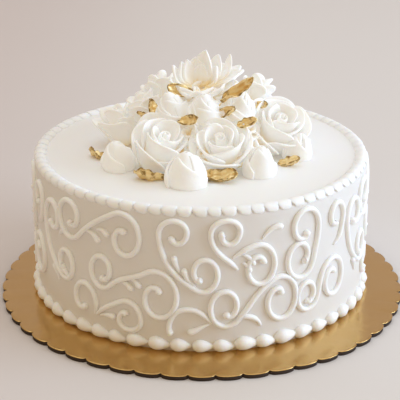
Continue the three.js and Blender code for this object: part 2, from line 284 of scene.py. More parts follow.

# %% [markdown]
# Petals are cream white at their lips. Down in the folds their colour is painted yellow and darker,
# as painted warm shade for light that has been through butter several times. Each petal carries a
# number called rise, 0 at its foot and 1 at its lip, and the colour follows it. Light also soaks
# through a petal from behind. A faint glow of the same colour, an emission, stands for it as painted
# light, and keeps the folds light and warm.

# %% Petals
PETAL_LIP = (0.81, 0.80, 0.78, 1.0)
# The fold colour is painted warm shade.
PETAL_FOLD_PAINTED_SHADE = (0.82, 0.64, 0.30, 1.0)
# The two glow colours and their strength are painted light: an emission on the petals.
PAINTED_GLOW_LIP = (0.95, 0.95, 0.92, 1.0)
PAINTED_GLOW_FOLD = (0.80, 0.55, 0.22, 1.0)
PETAL_PAINTED_GLOW = 0.16


def petal_finish():
    finish = Finish(
        "petals",
        Subsurface_Weight=0.3,
        Subsurface_Radius=GLOW_DEPTH,
        Subsurface_Scale=0.003,
        Emission_Strength=PETAL_PAINTED_GLOW,
    )
    patches = finish.speckle(90.0)
    ripples = finish.speckle(500.0, detail=1.0)
    # Low rise takes the fold colour, which is painted shade, and the emission is painted light.
    rise = finish.remap(finish.attribute("rise") + (patches - 0.5) * 0.3, -0.05, 0.72)
    return finish.surface(
        Base_Color=finish.blend(rise, PETAL_FOLD_PAINTED_SHADE, PETAL_LIP),
        Emission_Color=finish.blend(rise, PAINTED_GLOW_FOLD, PAINTED_GLOW_LIP),
        Roughness=finish.remap(patches, 0.3, 0.7, 0.5, 0.62),
        Normal=finish.bump(ripples, 0.0004, 0.3),
    )


petal_material = petal_finish()
print(petal_material.name)

# %% [markdown]
# The leaves are icing brushed with gold leaf. It clings in bright flakes, and both the colour and the
# roughness follow one crumpled noise. The colour turns brown in the noise's hollows, partly the
# gold's own mottling and partly painted shade in the creases. The leaf's edges are darkened too, as
# painted shade.

# %% Gold leaf
GOLD_BRIGHT = (0.93, 0.73, 0.38, 1.0)
GOLD_CREASE_AND_SHADE = (0.33, 0.20, 0.06, 1.0)


def gold_leaf():
    finish = Finish("gold leaf", Metallic=0.75)
    crumple = finish.speckle(240.0, detail=3.0, roughness=0.55)
    # Darker in the noise's hollows, partly the gold's own mottling and partly painted shade, and darker
    # at the leaf's edges, which is painted shade.
    crease_and_shade = finish.remap(crumple - finish.attribute("rim") * 0.22, 0.20, 0.43)
    return finish.surface(
        Base_Color=finish.blend(crease_and_shade, GOLD_CREASE_AND_SHADE, GOLD_BRIGHT),
        Roughness=finish.remap(crumple, 0.3, 0.7, 0.5, 0.3),
        Normal=finish.bump(crumple, 0.0012, 0.6),
    )


gold_material = gold_leaf()
print(gold_material.name)

# %% [markdown]
# The board is card covered with gold foil, with a dull mirror finish: it shows the cake as a soft
# streaky reflection. The foil isn't quite flat, so a broad low bump bends the reflection. The cut
# edge is brown card, coloured almost black as painted shade under the lip.

# %% Foil and card
FOIL = (0.70, 0.46, 0.175, 1.0)
FOIL_WORN = (0.63, 0.40, 0.15, 1.0)
# Both card colours are far darker than brown card: painted shade under the foil's lip.
CARD_DARK_PAINTED_SHADE = (0.018, 0.008, 0.004, 1.0)
CARD_LIGHT_PAINTED_SHADE = (0.05, 0.025, 0.012, 1.0)


def board_foil():
    finish = Finish("gold foil", Metallic=1.0)
    buckle = finish.speckle(22.0)
    haze = finish.speckle(160.0, detail=3.0)
    return finish.surface(
        Base_Color=finish.blend(haze, FOIL_WORN, FOIL),
        Roughness=finish.remap(haze, 0.3, 0.7, 0.17, 0.25),
        Normal=finish.bump(buckle + haze * 0.04, 0.0025, 0.6),
    )


def board_card():
    finish = Finish("brown card in painted shade", Roughness=0.8)
    fibres = finish.speckle(900.0, detail=3.0)
    return finish.surface(
        Base_Color=finish.blend(fibres, CARD_DARK_PAINTED_SHADE, CARD_LIGHT_PAINTED_SHADE),
        Normal=finish.bump(fibres, 0.0004, 0.5),
    )


foil_material = board_foil()
card_material = board_card()
print(foil_material.name, card_material.name)

# %% [markdown]
# Every piece below is finished in the same way: its mesh becomes a smooth-shaded object, rides on
# the cake's body and stands for the CAD nodes that it replaces.

# %% Piece helpers
# Vertices closer together than this, in metres, count as one or as level.
TINY = 1e-6


def new_object(name, bm, material):
    mesh = bpy.data.meshes.new(name)
    bm.to_mesh(mesh)
    bm.free()
    mesh.materials.append(material)
    made = bpy.data.objects.new(name, mesh)
    bpy.context.scene.collection.objects.link(made)
    return made


def make_piece(name, bm, material, slot, *nodes):
    piece = new_object(name, bm, material)
    piece.data.shade_smooth()
    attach(piece, "root")
    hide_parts(*nodes)
    print(name, len(piece.data.polygons), "faces")
    return piece


def bent_grid(bm, columns, rows, place):
    """A grid whose vertices move to place(u, v), with u and v from 0 to 1."""
    made = bmesh.ops.create_grid(bm, x_segments=columns, y_segments=rows, size=0.5)["verts"]
    for vert in made:
        vert.co = place(vert.co.x + 0.5, vert.co.y + 0.5)
    return made


def lathe(bm, profile, steps, centre):
    """A profile of (radius, height) points spun a full turn about the upright line at centre."""
    verts = [bm.verts.new((centre.x + radius, centre.y, height)) for radius, height in profile]
    edges = [bm.edges.new(pair) for pair in zip(verts, verts[1:])]
    bmesh.ops.spin(bm, geom=verts + edges, cent=centre, axis=(0, 0, 1), angle=2 * math.pi,
                   steps=steps, use_merge=True)
    bmesh.ops.remove_doubles(bm, verts=bm.verts, dist=TINY)
    bmesh.ops.recalc_face_normals(bm, faces=bm.faces)


board_low, board_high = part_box("board")
cake_low, cake_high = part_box("cake")
BOARD_TOP = board_high.z
CAKE_TOP = cake_high.z
AXIS = (cake_low + cake_high) / 2
AXIS.z = 0.0
CAKE_RADIUS = 123.4 * MM
print("cake axis at", [round(value / MM, 1) for value in AXIS], "top at", round(CAKE_TOP / MM, 1))

# %% [markdown]
# The table is one large plain disc. It is stage, not part of the object. In the photograph it is
# lighter at the right than at the left, so its colour fades along X: painted light at the right and
# painted shade at the left. A pale wall stands far behind the cake, beyond what the camera sees. The
# gold foil is a mirror, and needs it to reflect.

# %% Table and wall
FLOOR_RADIUS = 6.0
FLOOR_PAINTED_SHADE_LEFT = (0.64, 0.56, 0.525, 1.0)
FLOOR_PAINTED_LIGHT_RIGHT = (0.71, 0.66, 0.625, 1.0)
PAINTED_LIGHT_FADE_START = -0.28
PAINTED_LIGHT_FADE_END = 0.06
WALL_COLOUR = (0.70, 0.64, 0.67, 1.0)
WALL_DISTANCE = 2.4
WALL_WIDTH = 6.0
WALL_HEIGHT = 2.6


def table_finish():
    finish = Finish("pale table", Roughness=0.9)
    across = finish.node("ShaderNodeSeparateXYZ", sockets={0: finish.place()})
    # The fade along X is painted light at the right and painted shade at the left.
    painted_light_fade = finish.remap(across, PAINTED_LIGHT_FADE_START, PAINTED_LIGHT_FADE_END)
    return finish.surface(Base_Color=finish.blend(painted_light_fade, FLOOR_PAINTED_SHADE_LEFT, FLOOR_PAINTED_LIGHT_RIGHT))


def add_floor():
    bm = bmesh.new()
    bmesh.ops.create_circle(bm, cap_ends=True, segments=96, radius=FLOOR_RADIUS)
    floor = new_object("table", bm, table_finish())


def add_wall():
    bm = bmesh.new()
    bmesh.ops.create_grid(bm, x_segments=1, y_segments=1, size=0.5)
    for vert in bm.verts:
        vert.co = Vector((vert.co.x * WALL_WIDTH, WALL_DISTANCE, (vert.co.y + 0.5) * WALL_HEIGHT))
    finish = Finish("pale wall", Roughness=0.9)
    wall = new_object("wall", bm, finish.surface(Base_Color=WALL_COLOUR))


add_floor()
add_wall()
print("table radius:", FLOOR_RADIUS)

# %% [markdown]
# The cake is a drum with a softly rounded rim. Spinning a short profile gives the drum, a bevel
# rounds its rim, and a faint unevenness of a fraction of a millimetre keeps the side from looking
# machined.

# %% Iced drum
RIM_ROUND = 3.5 * MM
SIDE_ROWS = 14
DRUM_STEPS = 128
HAND_UNEVENNESS = 0.35 * MM
UNEVENNESS_SCALE = 26.0


def iced_drum():
    bm = bmesh.new()
    side = [(CAKE_RADIUS, BOARD_TOP + (CAKE_TOP - BOARD_TOP) * row / SIDE_ROWS)
            for row in range(SIDE_ROWS + 1)]
    profile = [(0.0, BOARD_TOP), *side, (CAKE_RADIUS * 0.5, CAKE_TOP), (0.0, CAKE_TOP)]
    lathe(bm, profile, DRUM_STEPS, AXIS)
    rim = [edge for edge in bm.edges
           if all(abs(vert.co.z - CAKE_TOP) < TINY for vert in edge.verts)
           and all((vert.co - AXIS).xy.length > CAKE_RADIUS * 0.99 for vert in edge.verts)]
    bmesh.ops.bevel(bm, geom=rim, offset=RIM_ROUND, offset_type="OFFSET", segments=5, profile=0.5,
                    affect="EDGES", material=-1)
    for vert in bm.verts:
        out = (vert.co - AXIS).xy
        if out.length > CAKE_RADIUS * 0.9 and vert.co.z < CAKE_TOP - TINY:
            shift = noise.noise(vert.co * UNEVENNESS_SCALE) * HAND_UNEVENNESS
            vert.co.xy += out.normalized() * shift
    return make_piece("iced_cake", bm, icing_material, "icing", "cake")


iced_drum()

# %% [markdown]
# Piped lines, pearls and tails are all the same thing: a round cord of icing whose width changes
# along its path. One function sweeps a ring along stations, each a middle, a sideways vector and an
# upward vector. The ring starts as a flat grid whose long edges meet, so the seam is merged.

# %% Sweep helper
def sweep(bm, stations, sides):
    """A closed cord through the stations, each (middle, sideways, upwards)."""
    last = len(stations) - 1

    def place(u, v):
        middle, sideways, upwards = stations[round(u * last)]
        angle = 2 * math.pi * v
        return middle + sideways * math.cos(angle) + upwards * math.sin(angle)

    verts = bent_grid(bm, last, sides, place)
    bmesh.ops.remove_doubles(bm, verts=verts, dist=TINY)


def outward_at(angle):
    """The level way out of the cake at an angle round it, from the front."""
    return Vector((math.sin(angle), -math.cos(angle), 0.0))


def path_at(places, index):
    """The way from the place before to the place after. A place starts with its point."""
    return places[min(index + 1, len(places) - 1)][0] - places[max(index - 1, 0)][0]


def round_end(distance, width):
    """The share of its width that a cord has at a distance from its rounded end."""
    if distance >= width:
        return 1.0
    return math.sqrt(max(0.0, 1.0 - (1.0 - distance / width) ** 2))


print("sweep ready")

# %% [markdown]
# The scrolls are spirals joined by soft S bends, drawn on the unrolled side of the cake and then
# wrapped round it. A curl is given by its middle, how far it reaches, its first and last angle and
# how fast it opens. A tip is a plain end with a heading. The pattern that shows at the front is
# piped three times round the cake.

# %% Scroll pattern
# A curl: along the side, up it, reach, inner angle, outer angle, opening. A tip: along, up, heading.
SCROLLS = [
    [(-102, 86, 13.2, -90, 312, 0.4), (-54, 80.5, 15, 60, 480, 0.85)],
    [(-72, 52.5, 10.3, -90, 312, 0.4), (-29.5, 39.5, 16, 60, 480, 0.6)],
    [(-89, 25.5, 12, 290, -30, 0.5), (-78, 16.5, -80)],
    [(-78, 16.5, 50), (-51.5, 19, 11.5, 100, 478, 0.5)],
    [(-16.8, 88.5, 11.8, -150, 195, 0.7), (2.5, 59, 10.5, 600, 240, 0.35)],
    [(18.5, 89.5, 12, -185, 215, 0.6), (26, 61, -55)],
    [(22, 70.5, 30), (41, 62, 13, 30, 465, 0.6)],
    [(17.5, 33.5, 11.5, -90, 310, 0.35), (57.5, 34.5, 13.8, 80, 475, 0.33)],
    [(24, 23, 40), (43, 16.5, -75)],
    [(76.5, 85, 12.5, 300, 0, 0.45), (73, 62.5, 12.5, -400, -10, 0.45)],
    [(80, 32.5, 9, -90, 280, 0.4), (106, 37.5, 12.5, 80, 480, 0.4)],
    [(108, 84.5, 9, 270, -20, 0.5), (106, 62.5, -150)],
    [(-124, 77, 11.5, -150, 195, 0.7), (-108.5, 47.5, 9.5, 600, 240, 0.35)],
    [(8, 21.5, 125), (-10, 17, 11.6, 217, 100, 0)],
]
# A leaf stroke: its thin tail and its fat head, each along, up and heading.
LEAF_STROKES = [
    [(-88, 78, 30), (-73.5, 72.5, -70)],
    [(-76, 82, 40), (-65.5, 79, -60)],
    [(-58, 46.5, 30), (-47.5, 42, -60)],
    [(-50, 51, 0), (-41.5, 45, -60)],
    [(-14, 60, 110), (-18, 72.5, 95)],
    [(-3, 49.5, 140), (-11, 63.5, 95)],
    [(29, 71.5, 0), (37.5, 63.5, -60)],
    [(28.5, 66.5, -20), (34.5, 58.5, -70)],
    [(43, 82, 60), (58, 88.5, -40)],
    [(8, 21.5, 190), (-9, 14.5, 190)],
    [(-75, 17, 20), (-61, 18.5, -20)],
    [(-104, 34, 120), (-113, 41, 190)],
    [(-116, 66, 60), (-106, 72.5, 0)],
    [(-118, 30, 100), (-124, 42, 120)],
]
PATTERN_REPEATS = 3
# Curls are taller than wide, unless they meet a border of pearls.
CURL_TALLNESS = 1.3
HIGHEST_LINE = 99.8
LOWEST_LINE = 9.0
EYE_RADIUS = 2.6
LINK_PULL = 1.25
CURL_STEP = 12.0
LINK_STEPS = 16


def curl_point(curl, share):
    along, up, reach, inner, outer, opening = curl
    radius = EYE_RADIUS + (reach - EYE_RADIUS) * share ** opening
    angle = math.radians(inner + (outer - inner) * share)
    room = (HIGHEST_LINE - up if math.sin(angle) > 0 else up - LOWEST_LINE) / reach
    tallness = min(CURL_TALLNESS, room)
    return Vector((along + radius * math.cos(angle), up + tallness * radius * math.sin(angle)))


def line_end(end):
    """The points of one end of a line, from its eye or tip outwards, and the way it leaves."""
    if len(end) == 3:
        heading = math.radians(end[2])
        return [Vector(end[:2])], Vector((math.cos(heading), math.sin(heading)))
    steps = math.ceil(abs(end[4] - end[3]) / CURL_STEP)
    points = [curl_point(end, step / steps) for step in range(steps + 1)]
    return points, (curl_point(end, 1.0) - curl_point(end, 0.999)).normalized()


def bezier(start, leaving, finish, arriving, share):
    rest = 1.0 - share
    return (start * rest ** 3 + leaving * (3 * rest ** 2 * share)
            + arriving * (3 * rest * share ** 2) + finish * share ** 3)


def line_path(line):
    first, leaving = line_end(line[0])
    last, arriving = line_end(line[1])
    if len(line[1]) > 3:
        arriving = -arriving
    pull = LINK_PULL * (last[-1] - first[-1]).length / 3
    handles = (first[-1], first[-1] + leaving * pull, last[-1], last[-1] - arriving * pull)
    link = [bezier(*handles, step / LINK_STEPS) for step in range(1, LINK_STEPS)]
    return first + link + last[::-1]


paths = [line_path(line) for line in SCROLLS]
stroke_paths = [line_path(stroke) for stroke in LEAF_STROKES]
print(len(paths), "scrolls and", len(stroke_paths), "leaf strokes")

# %% [markdown]
# Each cord lies half sunk in the coat. It swells to a small bead at the eye of a curl, where the
# tube was held still, and thins to a point at a tip. Wrapping turns a distance along the side into
# an angle round the cake.

# %% Scrolls on the side
LINE_HALF_WIDTH = 2.0 * MM
LINE_RISE = 2.3 * MM
LINE_PROUD = 0.5 * MM
BEAD_SWELL = 0.6
BEAD_REACH = 3.2 * MM
TIP_THIN = 0.45
TIP_REACH = 9.0 * MM
STATION_GAP = 1.3 * MM
LINE_SIDES = 10
# Distances from a rounded end, in half widths, at which extra stations shape the end.
END_STATIONS = (0.0, 0.08, 0.3, 0.65)


def resampled(points, distances):
    """Points at the given distances along a polyline."""
    result = []
    walked = 0.0
    index = 0
    for distance in distances:
        while index < len(points) - 2:
            stretch = (points[index + 1] - points[index]).length
            if walked + stretch >= distance:
                break
            walked += stretch
            index += 1
        step = points[index + 1] - points[index]
        share = (distance - walked) / step.length if step.length else 0.0
        result.append(points[index] + step * min(max(share, 0.0), 1.0))
    return result


def station_distances(length, width):
    near = [share * width for share in END_STATIONS]
    count = max(2, round((length - 2 * width) / STATION_GAP))
    middle = [width + (length - 2 * width) * step / count for step in range(count + 1)]
    return near + middle + [length - distance for distance in reversed(near)]


def on_side(point, bearing):
    outward = outward_at(bearing + point.x * MM / CAKE_RADIUS)
    return AXIS + outward * CAKE_RADIUS + Vector((0.0, 0.0, BOARD_TOP + point.y * MM)), outward


def pipe_on_side(bm, points, bearing, width_at):
    """Pipes a cord along points on the unrolled side. width_at gives its half width."""
    length = sum((b - a).length for a, b in zip(points, points[1:])) * MM
    distances = station_distances(length, LINE_HALF_WIDTH)
    flat = resampled(points, [distance / MM for distance in distances])
    places = [on_side(point, bearing) for point in flat]
    stations = []
    for index, (middle, outward) in enumerate(places):
        sideways = path_at(places, index).cross(outward).normalized()
        width = width_at(distances[index], length)
        rise = LINE_RISE * width / LINE_HALF_WIDTH
        proud = outward * (LINE_PROUD * width / LINE_HALF_WIDTH)
        stations.append((middle + proud, sideways * width, outward * rise))
    sweep(bm, stations, LINE_SIDES)


def end_share(is_curl, distance):
    if is_curl:
        swell = 1.0 + BEAD_SWELL * math.exp(-(distance / BEAD_REACH) ** 2)
    else:
        swell = TIP_THIN + (1.0 - TIP_THIN) * min(1.0, distance / TIP_REACH)
    return swell * round_end(distance, LINE_HALF_WIDTH * swell)


def piped_scrolls():
    bm = bmesh.new()
    for repeat in range(PATTERN_REPEATS):
        bearing = 2 * math.pi * repeat / PATTERN_REPEATS
        for line, points in zip(SCROLLS, paths):
            starts_in_curl, ends_in_curl = len(line[0]) > 3, len(line[1]) > 3

            def width_at(distance, length):
                near = end_share(starts_in_curl, distance)
                far = end_share(ends_in_curl, length - distance)
                return LINE_HALF_WIDTH * near * far

            pipe_on_side(bm, points, bearing, width_at)
    bmesh.ops.recalc_face_normals(bm, faces=bm.faces)
    return make_piece("piped_scrolls", bm, piped_material, "icing", "cake")


piped_scrolls()

# %% [markdown]
# Between the scrolls sit small leaves: one press of the tube, pulled away to a thin tail.

# %% Leaf strokes
STROKE_TAIL = 0.35
STROKE_HEAD = 1.35


def leaf_strokes():
    bm = bmesh.new()
    for repeat in range(PATTERN_REPEATS):
        bearing = 2 * math.pi * repeat / PATTERN_REPEATS
        for points in stroke_paths:

            def width_at(distance, length):
                share = distance / length
                width = LINE_HALF_WIDTH * (STROKE_TAIL + (STROKE_HEAD - STROKE_TAIL) * share)
                return width * round_end(distance, width) * round_end(length - distance, width * 1.4)

            pipe_on_side(bm, points, bearing, width_at)
    bmesh.ops.recalc_face_normals(bm, faces=bm.faces)
    return make_piece("piped_leaf_strokes", bm, piped_material, "icing", "cake")


leaf_strokes()

# %% [markdown]
# The foot of the cake is hidden by pearls. Each was squeezed out fat and pulled to the right, so it
# is a drop with a round head at the left and a tail that the next pearl covers. No two are alike,
# so each draws its size, its tail and a small turn from a seeded generator.

# %% Pearls round the foot
FOOT_PEARLS = 51
FOOT_HEAD = 5.2 * MM
FOOT_HEIGHT = 4.6 * MM
FOOT_OUT = -0.2 * MM
FOOT_SIDES = 10
# Stations of a drop: distance along it in head radii, and width as a share of the head.
DROP = [(-1.22, 0.0), (-1.19, 0.22), (-1.08, 0.48), (-0.86, 0.74), (-0.5, 0.94), (-0.1, 1.0),
        (0.3, 0.94), (0.75, 0.80), (1.2, 0.60), (1.6, 0.42), (1.95, 0.24), (2.1, 0.0)]
foot_random = random.Random(51)


def foot_pearls():
    bm = bmesh.new()
    for pearl in range(FOOT_PEARLS):
        size = foot_random.uniform(0.92, 1.08)
        tail = foot_random.uniform(0.82, 1.1)
        drop = foot_random.uniform(0.2, 0.9)
        start = 2 * math.pi * (pearl + foot_random.uniform(-0.06, 0.06)) / FOOT_PEARLS
        stations = []
        for along, width in DROP:
            reach = along * (tail if along > 0 else 1.0) * FOOT_HEAD * size
            outward = outward_at(start + reach / CAKE_RADIUS)
            sink = drop * max(along, 0.0) * 0.8 * MM
            middle = AXIS + outward * (CAKE_RADIUS + FOOT_OUT)
            middle.z = BOARD_TOP + FOOT_HEIGHT * size - sink
            radius = FOOT_HEAD * size * width
            stations.append((middle, outward * radius * 0.95, Vector((0.0, 0.0, radius))))
        sweep(bm, stations, FOOT_SIDES)
    bmesh.ops.recalc_face_normals(bm, faces=bm.faces)
    return make_piece("foot_pearls", bm, piped_material, "icing", "bottom_border")


foot_pearls()

# %% [markdown]
# The rim carries smaller pearls. Each starts as a low ridge on the top, swells over the edge and
# ends in a short tail on the side. They lean to the right on the way down, like strands of a rope.

# %% Pearls over the rim
RIM_PEARLS = 76
RIM_HALF_WIDTH = 5.4 * MM
RIM_THICKNESS = 1.6 * MM
RIM_SIDES = 10
# Stations from the top of the cake over its rim: outwards, upwards and to the right in millimetres,
# then half width and thickness as shares. They are broad on the top, where they run together.
RIM_DROP = [(-9.6, -1.3, -3.0, 0.0, 0.0), (-9.0, -0.9, -2.8, 0.7, 0.4), (-7.2, -0.1, -2.3, 1.15, 0.75),
            (-5.4, 0.5, -1.7, 1.25, 0.95), (-3.6, 0.7, -0.9, 1.15, 1.0), (-2.2, 0.3, -0.1, 1.02, 1.0),
            (-1.4, -0.6, 0.7, 0.92, 1.0), (-1.1, -1.7, 1.4, 0.76, 0.95), (-1.1, -2.7, 1.9, 0.58, 0.85),
            (-1.2, -3.5, 2.3, 0.40, 0.65), (-1.3, -4.1, 2.5, 0.22, 0.4), (-1.3, -4.4, 2.6, 0.0, 0.0)]
rim_random = random.Random(76)


def rim_pearls():
    bm = bmesh.new()
    for pearl in range(RIM_PEARLS):
        size = rim_random.uniform(0.9, 1.06)
        start = 2 * math.pi * (pearl + rim_random.uniform(-0.07, 0.07)) / RIM_PEARLS
        places = []
        for out, up, right, width, thickness in RIM_DROP:
            outward = outward_at(start + right * MM / CAKE_RADIUS)
            middle = AXIS + outward * (CAKE_RADIUS + out * MM)
            middle.z = CAKE_TOP + up * MM
            places.append((middle, width * size, thickness * size))
        stations = []
        for index, (middle, width, thickness) in enumerate(places):
            path = path_at(places, index)
            tangent = Vector((math.cos(start), math.sin(start), 0.0))
            upwards = tangent.cross(path).normalized() * -1.0
            sideways = path.cross(upwards).normalized()
            stations.append((middle, sideways * width * RIM_HALF_WIDTH,
                             upwards * thickness * RIM_THICKNESS))
        sweep(bm, stations, RIM_SIDES)
    bmesh.ops.recalc_face_normals(bm, faces=bm.faces)
    return make_piece("rim_pearls", bm, piped_material, "icing", "top_border")


rim_pearls()

# %% [markdown]
# The board is a stamped disc with fifty convex scallops. The foil is flat right up to its rim, where
# it turns down over a thin rounded lip. Below the lip shows the cut edge of the card, a little
# further in, coloured almost black as painted shade.

# %% Board
SCALLOPS = 50
SCALLOP_DEPTH = 3.5 * MM
SCALLOP_POINTS = 12
BOARD_RADIUS = 152.4 * MM
FOIL_HOLE = 30.0 * MM
# The lip from the flat top to its underside: how far in from the rim and how far down.
LIP = [(1.2, 0.0), (0.35, 0.05), (0.1, 0.22), (0.05, 0.45), (0.3, 0.6), (0.7, 0.62)]
CARD_INSET = 0.5 * MM
# How far the card reaches up inside the lip, so that no gap shows between them.
CARD_TUCK = 0.05 * MM


def scallop_bulge(angle):
    along = (angle * SCALLOPS / (2 * math.pi)) % 1.0
    return math.sqrt(max(0.0, 1.0 - (2.0 * along - 1.0) ** 2))


def scalloped_circle(bm, shrink, height):
    made = bmesh.ops.create_circle(bm, segments=SCALLOPS * SCALLOP_POINTS, radius=1.0)["verts"]
    for vert in made:
        angle = math.atan2(vert.co.y, vert.co.x)
        radius = BOARD_RADIUS - shrink - SCALLOP_DEPTH * (1.0 - scallop_bulge(angle))
        vert.co = Vector((radius * math.cos(angle), radius * math.sin(angle), height))
    return made


def circle_edges(verts):
    inside = set(verts)
    edges = {edge for vert in verts for edge in vert.link_edges}
    return [edge for edge in edges if all(vert in inside for vert in edge.verts)]


def stacked(bm, circles):
    """Joins circles of equal count into a skin, one band at a time, and closes both ends."""
    rings = [circle_edges(circle) for circle in circles]
    for lower, upper in zip(rings, rings[1:]):
        bmesh.ops.bridge_loops(bm, edges=lower + upper)
    for circle in (circles[0], circles[-1]):
        bmesh.ops.contextual_create(bm, geom=circle_edges(circle))
    bmesh.ops.recalc_face_normals(bm, faces=bm.faces)


def foil_top():
    bm = bmesh.new()
    circles = [scalloped_circle(bm, FOIL_HOLE, BOARD_TOP)]
    circles += [scalloped_circle(bm, inset * MM, BOARD_TOP - drop * MM) for inset, drop in LIP]
    stacked(bm, circles)
    return make_piece("foil_top", bm, foil_material, "board_foil", "board")


def card_core():
    bm = bmesh.new()
    top = BOARD_TOP - LIP[-1][1] * MM + CARD_TUCK
    stacked(bm, [scalloped_circle(bm, CARD_INSET, top), scalloped_circle(bm, CARD_INSET, 0.0)])
    return make_piece("card_core", bm, card_material, "board_foil", "board")


foil_top()
card_core()

# %% [markdown]
# The flowers stand on a rough hill of icing. Little of it shows, only in the gaps between petals,
# where it is in deep warm shade, and a low rise paints that warm shade into its colour. Its profile
# is spun, then lumps are pushed into it.

# %% Mound
MOUND_MIDDLE = Vector((5.4, 0.3, 0.0)) * MM
MOUND_PROFILE = [(45, 0), (42, 9), (36, 19), (29, 28), (21, 36), (12, 43), (0, 46)]
MOUND_STEPS = 40
MOUND_LUMPS = 3.0 * MM
# The mound's rise is low, so the petal finish paints it with warm fold shade.
MOUND_PAINTED_SHADE_RISE = 0.2
LUMP_SCALE = 90.0


def flower_mound():
    bm = bmesh.new()
    middle = AXIS + MOUND_MIDDLE
    profile = [(radius * MM, CAKE_TOP + height * MM) for radius, height in MOUND_PROFILE]
    lathe(bm, [(0.0, CAKE_TOP), *profile], MOUND_STEPS, middle)
    bmesh.ops.subdivide_edges(bm, edges=bm.edges[:], cuts=1, use_grid_fill=True)
    rise = bm.verts.layers.float.new("rise")
    for vert in bm.verts:
        vert[rise] = MOUND_PAINTED_SHADE_RISE
        if vert.co.z > CAKE_TOP + TINY:
            outward = vert.co - middle - Vector((0.0, 0.0, CAKE_TOP))
            vert.co += outward.normalized() * noise.noise(vert.co * LUMP_SCALE) * MOUND_LUMPS
    return make_piece("flower_mound_icing", bm, petal_material, "icing", "flower_mound")


flower_mound()

# %% [markdown]
# A petal is a grid bent round the flower's axis. Sums are in shares of the flower's radius and
# height, so that one shape serves large and small flowers. Its lip is a broad arc that drops at
# both ends, and it leans out like the wall of a cup. Near the lip it curls outwards. One side laps
# outside its neighbour, which gives the rose its spiral.

# %% Petal shapes
PETAL_COLUMNS = 12
PETAL_ROWS = 8
CURL_START = 0.65
# How far outside its neighbour the lapping side of a rose's petal lies.
LAP = 0.08
# How much of the curl brings the lip down.
CURL_DROP = 0.4
# How much lower the outer end of the rolled heart is.
HEART_SLOPE = 0.12


def petal_grid(bm, place, foot_rise=0.0):
    """A petal whose rise runs from foot_rise at its foot to 1 at its lip. Low rise is painted with
    warm fold shade, so foot_rise is 0 deep in a flower and more in the light.
    """
    rise = bm.verts.layers.float["rise"]
    made = bmesh.ops.create_grid(bm, x_segments=PETAL_COLUMNS, y_segments=PETAL_ROWS, size=0.5)["verts"]
    for vert in made:
        u, v = vert.co.x + 0.5, vert.co.y + 0.5
        vert.co = place(u, v)
        vert[rise] = foot_rise + (1.0 - foot_rise) * v


def around(radius, angle, height):
    return Vector((radius * math.cos(angle), radius * math.sin(angle), height))


def cup_petal(bm, draw, turn, foot, lip, inner, outer, spread, curl, bend, drop, ruffle, foot_rise):
    """A broad round petal of a rose."""
    phase = draw.uniform(0.0, 6.0)

    def place(u, v):
        across = 2.0 * u - 1.0
        share = v * (1.0 - drop * abs(across) ** 4)
        radius = inner + (outer - inner) * share ** bend + LAP * across * (0.3 + v)
        height = foot + (lip - foot) * share
        turned = max(0.0, (v - CURL_START) / (1.0 - CURL_START)) ** 2
        radius += curl * turned + ruffle * math.sin(3.0 * across + phase) * v
        height -= CURL_DROP * curl * turned - ruffle * math.sin(4.0 * across + phase) * v
        return around(radius, turn + spread * across * (0.85 + 0.15 * v), height)

    petal_grid(bm, place, foot_rise)


def rolled_heart(bm, turn, turns, foot, lip, inner, outer):
    """The tight spiral in the middle of a rose: a ribbon rolled outwards and sloping down."""

    def place(u, v):
        radius = (inner + (outer - inner) * u) * (1.1 - 0.25 * v)
        angle = turn + turns * 2.0 * math.pi * u
        return around(radius, angle, foot + (lip - foot) * v * (1.0 - HEART_SLOPE * u))

    petal_grid(bm, place)


# The rise at a bud petal's foot, which sets how much painted fold shade it gets.
BUD_FOOT_RISE = 0.6
# The outline of a closed bud from its foot to its tip: height and radius as shares of its size.
BUD_PROFILE = [(0.0, 0.74), (0.15, 0.94), (0.32, 1.0), (0.5, 0.90),
               (0.68, 0.72), (0.83, 0.50), (0.94, 0.27), (1.0, 0.04)]


def bud_radius(height):
    for (low, first), (high, second) in zip(BUD_PROFILE, BUD_PROFILE[1:]):
        if height <= high:
            return first + (second - first) * (height - low) / (high - low)
    return BUD_PROFILE[-1][1]


def bud_petal(bm, turn, lip, size, spread, lap, drop, foot_rise=BUD_FOOT_RISE):
    """A petal that wraps a bud. It follows the egg, closes in at the top, and its lip slants down
    towards the side that laps over the next petal."""

    def place(u, v):
        across = 2.0 * u - 1.0
        share = lip * v * (1.0 - drop * max(0.0, (across + 0.5) / 1.5) ** 1.6)
        radius = bud_radius(share) * size + lap * (across + 0.7) * 0.5
        radius += 0.07 * max(0.0, v - 0.75) / 0.25 * (1.0 - share) ** 0.5
        return around(radius, turn + spread * across, share * (1.0 + 0.03 * size))

    petal_grid(bm, place, foot_rise)


# The rise at a blade petal's foot: a low one gives it much painted fold shade.
BLADE_FOOT_RISE = 0.15
BLADE_RUFFLE = 0.1


def blade_petal(bm, draw, root, belly, tip, width, cup, heart):
    """A pointed petal along a bend from its root through its belly to its tip. It is hollow
    towards the heart of the flower."""
    phase = draw.uniform(0.0, 6.0)
    root, belly, tip, heart = (Vector(point) for point in (root, belly, tip, heart))

    def place(u, v):
        across = 2.0 * u - 1.0
        middle = root * (1.0 - v) ** 2 + belly * (2.0 * v * (1.0 - v)) + tip * v ** 2
        path = ((belly - root) * (1.0 - v) + (tip - belly) * v).normalized()
        sideways = path.cross(heart - middle).normalized()
        inward = sideways.cross(path).normalized()
        outline = min(1.0, 0.4 + 1.4 * v) * (1.0 - v ** 4) ** 0.65
        ruffle = BLADE_RUFFLE * math.sin(4.0 * across + 5.0 * v + phase) * v * abs(across)
        hollow = width * (cup * outline * across ** 2 + ruffle)
        return middle + sideways * (width * outline * across) + inward * hollow

    petal_grid(bm, place, BLADE_FOOT_RISE)


print("petal shapes ready")

